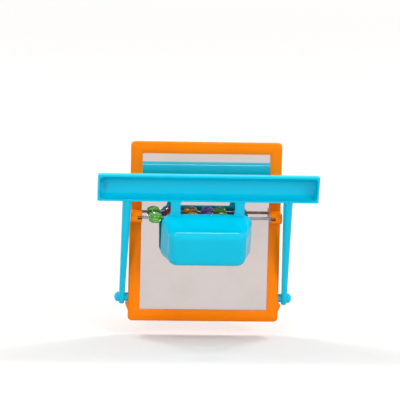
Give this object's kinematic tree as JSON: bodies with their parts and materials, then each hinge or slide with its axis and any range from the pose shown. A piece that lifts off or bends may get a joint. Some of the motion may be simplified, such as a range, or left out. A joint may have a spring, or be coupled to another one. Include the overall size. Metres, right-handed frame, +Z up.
{
  "type": "bird mirror with perch",
  "caption": "Framed cage mirror for small birds with a fold-down perch bar, a feed cup and a wire of sliding beads.",
  "frame": {"origin": "centre of the back cover's flat rear face, which lies against the cage wires", "axes": "+X across the mirror, to the right for someone who looks into it; +Y out of the back, towards the cage; +Z up; the bird faces -Y"},
  "size_m": [0.103, 0.0428, 0.0856],
  "materials": {
    "frame_plastic": "glossy orange moulding",
    "perch_plastic": "glossy blue moulding",
    "silvered_glass": "polished",
    "wire_steel": "drawn wire",
    "bead_green": "faceted and see-through",
    "bead_red": "faceted and see-through",
    "bead_amber": "faceted and see-through",
    "bead_violet": "faceted and see-through"
  },
  "bodies": {
    "mirror_body": {"mirror_frame": "frame_plastic", "mirror_plate": "silvered_glass", "back_cover": "frame_plastic", "clamp_bolt": "wire_steel", "bead_wire": "wire_steel"},
    "perch_yoke": {"perch_bar": "perch_plastic", "left_arm": "perch_plastic", "right_arm": "perch_plastic", "left_strap": "perch_plastic", "right_strap": "perch_plastic", "feed_cup": "perch_plastic"},
    "cage_washer": {"clamp_washer": "perch_plastic"},
    "cage_nut": {"wing_nut": "perch_plastic"},
    "green_bead_left": {"bead_green_left": "bead_green"},
    "red_bead": {"bead_red": "bead_red"},
    "amber_bead": {"bead_amber": "bead_amber"},
    "violet_bead": {"bead_violet": "bead_violet"},
    "green_bead_right": {"bead_green_right": "bead_green"}
  },
  "joints": [
    {"name": "perch_swing", "type": "hinge", "parent": "mirror_body", "child": "perch_yoke", "pos_m": [0, -0.004, -0.03175], "axis": [1, 0, 0], "range_deg": [0, 68.6]},
    {"name": "washer_slide", "type": "slide", "parent": "mirror_body", "child": "cage_washer", "axis": [0, 1, 0], "range_m": [-0.0019, 0]},
    {"name": "wing_nut_turn", "type": "hinge", "parent": "mirror_body", "child": "cage_nut", "pos_m": [0, 0.0082, 0.016], "axis": [0, 1, 0], "continuous": true},
    {"name": "green_left_slide", "type": "slide", "parent": "mirror_body", "child": "green_bead_left", "axis": [1, 0, 0], "range_m": [-0.003, 0.0012]},
    {"name": "red_slide", "type": "slide", "parent": "mirror_body", "child": "red_bead", "axis": [1, 0, 0], "range_m": [-0.0012, 0.0016]},
    {"name": "amber_slide", "type": "slide", "parent": "mirror_body", "child": "amber_bead", "axis": [1, 0, 0], "range_m": [-0.0016, 0.001]},
    {"name": "violet_slide", "type": "slide", "parent": "mirror_body", "child": "violet_bead", "axis": [1, 0, 0], "range_m": [-0.001, 0.00005]},
    {"name": "green_right_slide", "type": "slide", "parent": "mirror_body", "child": "green_bead_right", "axis": [1, 0, 0], "range_m": [-0.00005, 0.0196]}
  ]
}
